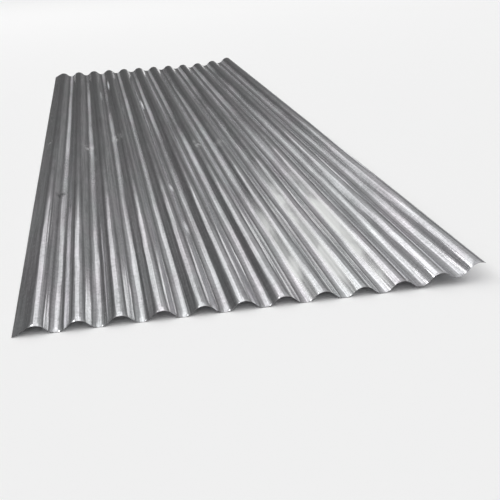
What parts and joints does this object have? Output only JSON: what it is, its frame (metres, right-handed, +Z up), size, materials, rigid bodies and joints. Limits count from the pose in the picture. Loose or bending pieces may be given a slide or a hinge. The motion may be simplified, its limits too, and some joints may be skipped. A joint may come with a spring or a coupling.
{
  "type": "corrugated galvanized steel sheet",
  "caption": "Corrugated galvanized steel sheet with round waves along its length and square-cut ends, in bare zinc grey, for roofing, cladding and fencing.",
  "frame": {"origin": "on the floor, under the middle of the sheet", "axes": "+Y along the waves, from the end near the viewer to the far end; +X across the waves, towards the edge that ends on a crest; +Z up"},
  "size_m": [0.8912, 3.05, 0.0377],
  "materials": {
    "galvanized_steel": "bright zinc coat, slightly cloudy, with fine roll streaks along the waves"
  },
  "bodies": {
    "root": {"corrugated_sheet": "galvanized_steel"}
  },
  "joints": []
}
